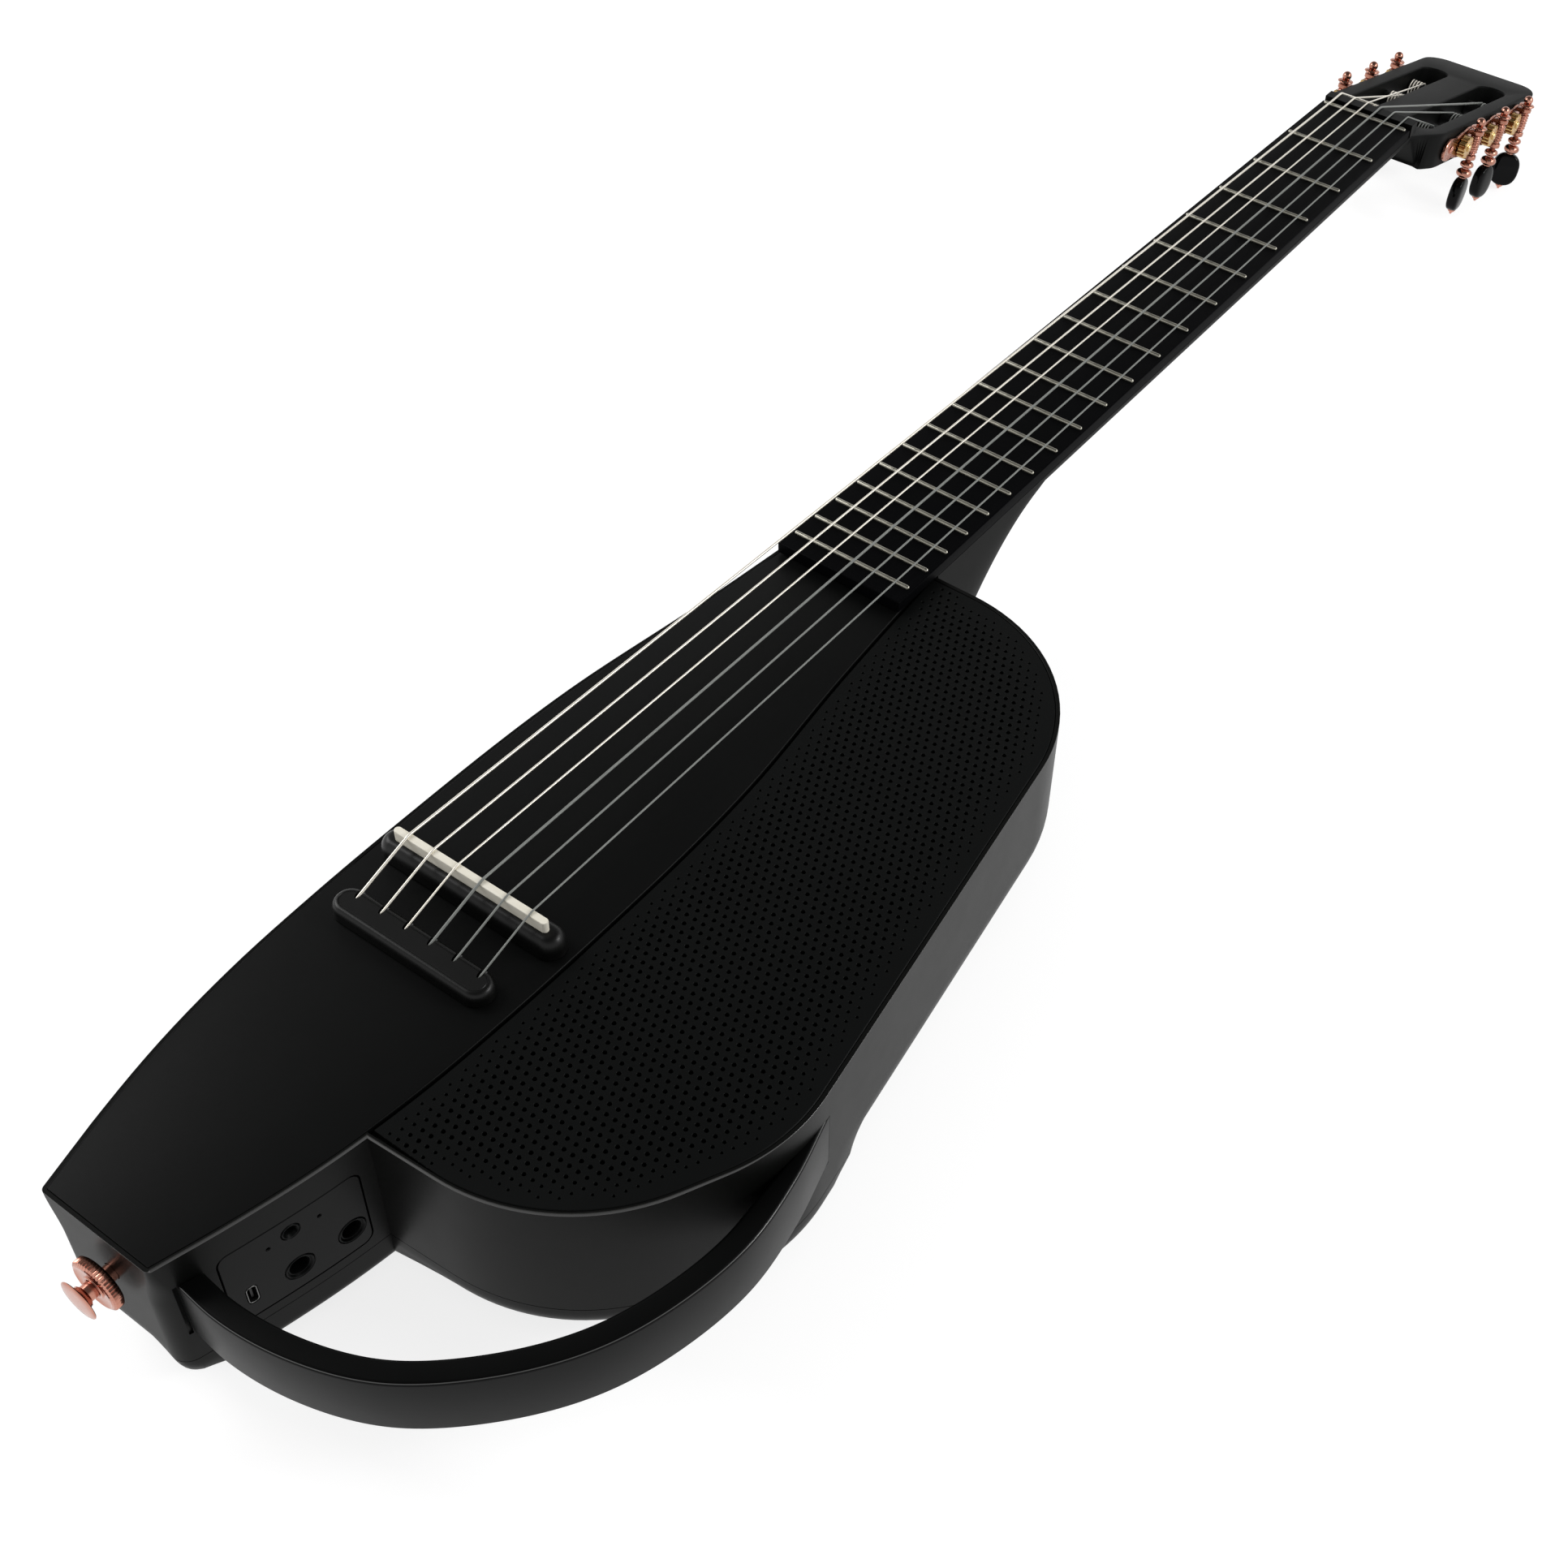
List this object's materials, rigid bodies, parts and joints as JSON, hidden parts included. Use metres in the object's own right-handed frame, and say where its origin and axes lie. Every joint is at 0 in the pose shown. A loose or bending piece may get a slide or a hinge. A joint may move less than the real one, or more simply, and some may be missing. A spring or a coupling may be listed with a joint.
{
  "type": "smart guitar",
  "caption": "Travel guitar with a slim hollow spine, a speaker pod on the treble side, a bow frame round the tail, jack sockets and a slotted headstock with geared tuners.",
  "frame": {"origin": "on the flat back, under the middle of the saddle", "axes": "+X from the saddle towards the headstock, +Y to the bass strings' side, +Z out of the top"},
  "size_m": [0.9928, 0.2, 0.0901],
  "materials": {
    "shell_black": "matte moulded composite",
    "trim_black": "satin moulded composite",
    "fretboard_black": "matte",
    "saddle_ivory": "smooth ivory-coloured",
    "fret_metal": "polished",
    "rose_gold": "polished rose-gold plating",
    "roller_white": "smooth",
    "nylon": "clear pale nylon",
    "wound_silver": "silver-plated winding",
    "driver_black": "paper cone and steel basket",
    "board_green": "lacquered circuit board",
    "battery_wrap": "shrink wrap",
    "socket_metal": "plain"
  },
  "bodies": {
    "instrument": {"body_shell": "shell_black", "back_cover": "shell_black", "top_plate": "shell_black", "saddle_carrier": "shell_black", "tie_block": "shell_black", "neck": "shell_black", "speaker_grille": "trim_black", "jack_panel": "trim_black", "bow_frame": "trim_black", "nut_guide": "trim_black", "fretboard": "fretboard_black", "saddle": "saddle_ivory", "fret_00": "fret_metal", "fret_01": "fret_metal", "fret_02": "fret_metal", "fret_03": "fret_metal", "fret_04": "fret_metal", "fret_05": "fret_metal", "fret_06": "fret_metal", "fret_07": "fret_metal", "fret_08": "fret_metal", "fret_09": "fret_metal", "fret_10": "fret_metal", "fret_11": "fret_metal", "fret_12": "fret_metal", "fret_13": "fret_metal", "fret_14": "fret_metal", "fret_15": "fret_metal", "fret_16": "fret_metal", "fret_17": "fret_metal", "fret_18": "fret_metal", "fret_19": "fret_metal", "strap_button": "rose_gold", "tuner_plate_bass": "rose_gold", "tuner_plate_treble": "rose_gold", "string_1": "nylon", "string_2": "nylon", "string_3": "nylon", "string_4": "wound_silver", "string_5": "wound_silver", "string_6": "wound_silver", "speaker_driver": "driver_black", "main_board": "board_green", "socket_board": "board_green", "battery_pack": "battery_wrap", "power_socket": "socket_metal", "pickup_strip": "socket_metal"},
    "key_1": {"tuner_key_1": "rose_gold"},
    "roller_1": {"tuner_roller_1": "roller_white"},
    "key_2": {"tuner_key_2": "rose_gold"},
    "roller_2": {"tuner_roller_2": "roller_white"},
    "key_3": {"tuner_key_3": "rose_gold"},
    "roller_3": {"tuner_roller_3": "roller_white"},
    "key_4": {"tuner_key_4": "rose_gold"},
    "roller_4": {"tuner_roller_4": "roller_white"},
    "key_5": {"tuner_key_5": "rose_gold"},
    "roller_5": {"tuner_roller_5": "roller_white"},
    "key_6": {"tuner_key_6": "rose_gold"},
    "roller_6": {"tuner_roller_6": "roller_white"},
    "wheel": {"thumb_wheel": "rose_gold"}
  },
  "joints": [
    {"name": "key_turn_1", "type": "hinge", "parent": "instrument", "child": "key_1", "pos_m": [0.71168, -0.0386, 0.05767], "axis": [0.2419, 0, 0.9703], "continuous": true},
    {"name": "roller_turn_1", "type": "hinge", "parent": "instrument", "child": "roller_1", "pos_m": [0.70065, -0.017, 0.05063], "axis": [0, 1, 0], "continuous": true},
    {"name": "key_turn_2", "type": "hinge", "parent": "instrument", "child": "key_2", "pos_m": [0.74564, -0.0386, 0.0492], "axis": [0.2419, 0, 0.9703], "continuous": true},
    {"name": "roller_turn_2", "type": "hinge", "parent": "instrument", "child": "roller_2", "pos_m": [0.73461, -0.017, 0.04216], "axis": [0, 1, 0], "continuous": true},
    {"name": "key_turn_3", "type": "hinge", "parent": "instrument", "child": "key_3", "pos_m": [0.7796, -0.0386, 0.04073], "axis": [0.2419, 0, 0.9703], "continuous": true},
    {"name": "roller_turn_3", "type": "hinge", "parent": "instrument", "child": "roller_3", "pos_m": [0.76857, -0.017, 0.03369], "axis": [0, 1, 0], "continuous": true},
    {"name": "key_turn_4", "type": "hinge", "parent": "instrument", "child": "key_4", "pos_m": [0.7796, 0.0386, 0.04073], "axis": [0.2419, 0, 0.9703], "continuous": true},
    {"name": "roller_turn_4", "type": "hinge", "parent": "instrument", "child": "roller_4", "pos_m": [0.76857, 0.017, 0.03369], "axis": [0, 1, 0], "continuous": true},
    {"name": "key_turn_5", "type": "hinge", "parent": "instrument", "child": "key_5", "pos_m": [0.74564, 0.0386, 0.0492], "axis": [0.2419, 0, 0.9703], "continuous": true},
    {"name": "roller_turn_5", "type": "hinge", "parent": "instrument", "child": "roller_5", "pos_m": [0.73461, 0.017, 0.04216], "axis": [0, 1, 0], "continuous": true},
    {"name": "key_turn_6", "type": "hinge", "parent": "instrument", "child": "key_6", "pos_m": [0.71168, 0.0386, 0.05767], "axis": [0.2419, 0, 0.9703], "continuous": true},
    {"name": "roller_turn_6", "type": "hinge", "parent": "instrument", "child": "roller_6", "pos_m": [0.70065, 0.017, 0.05063], "axis": [0, 1, 0], "continuous": true},
    {"name": "wheel_turn", "type": "hinge", "parent": "instrument", "child": "wheel", "pos_m": [-0.1663, -0.002, 0.0506], "axis": [1, 0, 0], "continuous": true}
  ],
  "couplings": [
    {"joint": "roller_turn_1", "follows": "key_turn_1", "ratio": -0.071429},
    {"joint": "roller_turn_2", "follows": "key_turn_2", "ratio": -0.071429},
    {"joint": "roller_turn_3", "follows": "key_turn_3", "ratio": -0.071429},
    {"joint": "roller_turn_4", "follows": "key_turn_4", "ratio": 0.071429},
    {"joint": "roller_turn_5", "follows": "key_turn_5", "ratio": 0.071429},
    {"joint": "roller_turn_6", "follows": "key_turn_6", "ratio": 0.071429}
  ]
}
